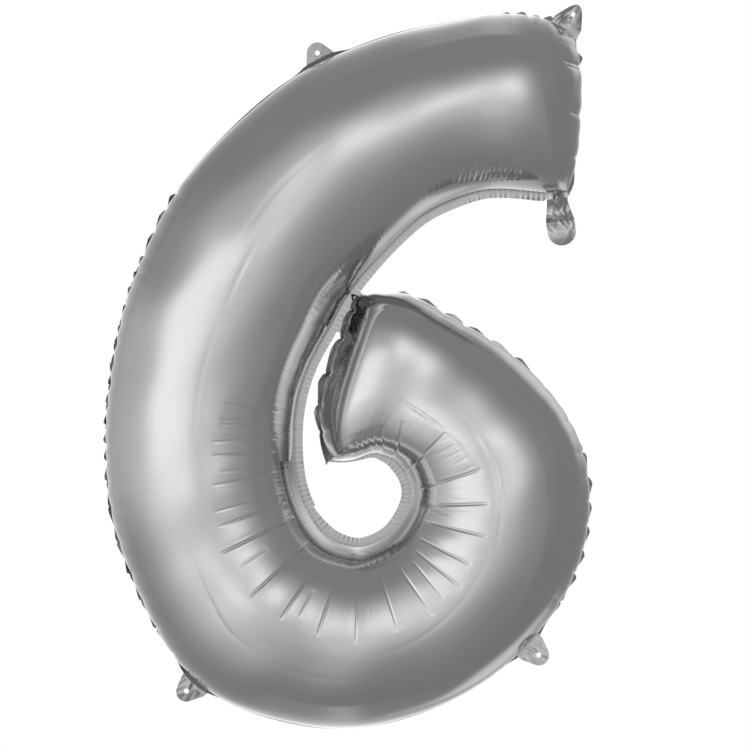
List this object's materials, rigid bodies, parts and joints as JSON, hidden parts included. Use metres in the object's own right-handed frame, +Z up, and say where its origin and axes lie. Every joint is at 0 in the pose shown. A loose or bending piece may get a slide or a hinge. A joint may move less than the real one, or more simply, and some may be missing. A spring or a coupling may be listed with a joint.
{
  "type": "foil number balloon",
  "caption": "Inflated silver foil balloon in the shape of a figure six, with hanging tabs and a self-sealing filling neck.",
  "frame": {"origin": "centre of the hole in the upper left hanging tab, which the balloon is hung from", "axes": "+Z up, -Y out of the front panel, towards a viewer who reads the figure, +X to that viewer's right"},
  "size_m": [0.584, 0.2164, 0.8683],
  "materials": {
    "silver_film": "satin silver metallised film",
    "fused_film": "two metallised films heat-sealed together, duller and faintly cockled",
    "neck_film": "creased metallised film",
    "valve_film": "thin milky polyethylene film"
  },
  "bodies": {
    "envelope": {"front_panel": "silver_film", "back_panel": "silver_film", "perimeter_seal": "fused_film", "valve_front_film": "valve_film", "valve_back_film": "valve_film", "valve_side_welds": "valve_film"},
    "tab_top_left": {"hanging_tab_top_left": "fused_film"},
    "tab_top_right": {"hanging_tab_top_right": "fused_film"},
    "tab_bottom_left": {"hanging_tab_bottom_left": "fused_film"},
    "tab_bottom_right": {"hanging_tab_bottom_right": "fused_film"},
    "filling_neck": {"filling_neck_front_ply": "neck_film", "filling_neck_back_ply": "neck_film", "filling_neck_side_welds": "neck_film"}
  },
  "joints": [
    {"name": "top_left_tab_bend", "type": "hinge", "parent": "envelope", "child": "tab_top_left", "pos_m": [0.00395, 0, -0.00809], "axis": [0.8988, 0, 0.4384], "range_deg": [-80, 80]},
    {"name": "top_right_tab_bend", "type": "hinge", "parent": "envelope", "child": "tab_top_right", "pos_m": [0.29775, 0, 0.03344], "axis": [0.866, 0, -0.5], "range_deg": [-80, 80]},
    {"name": "bottom_left_tab_bend", "type": "hinge", "parent": "envelope", "child": "tab_bottom_left", "pos_m": [-0.14671, 0, -0.75264], "axis": [-0.6691, 0, 0.7431], "range_deg": [-80, 80]},
    {"name": "bottom_right_tab_bend", "type": "hinge", "parent": "envelope", "child": "tab_bottom_right", "pos_m": [0.25413, 0, -0.70879], "axis": [-0.682, 0, -0.7314], "range_deg": [-80, 80]},
    {"name": "neck_bend", "type": "hinge", "parent": "envelope", "child": "filling_neck", "pos_m": [0.286, 0, -0.174], "axis": [-0.9903, 0, -0.1392], "range_deg": [-80, 80]}
  ]
}
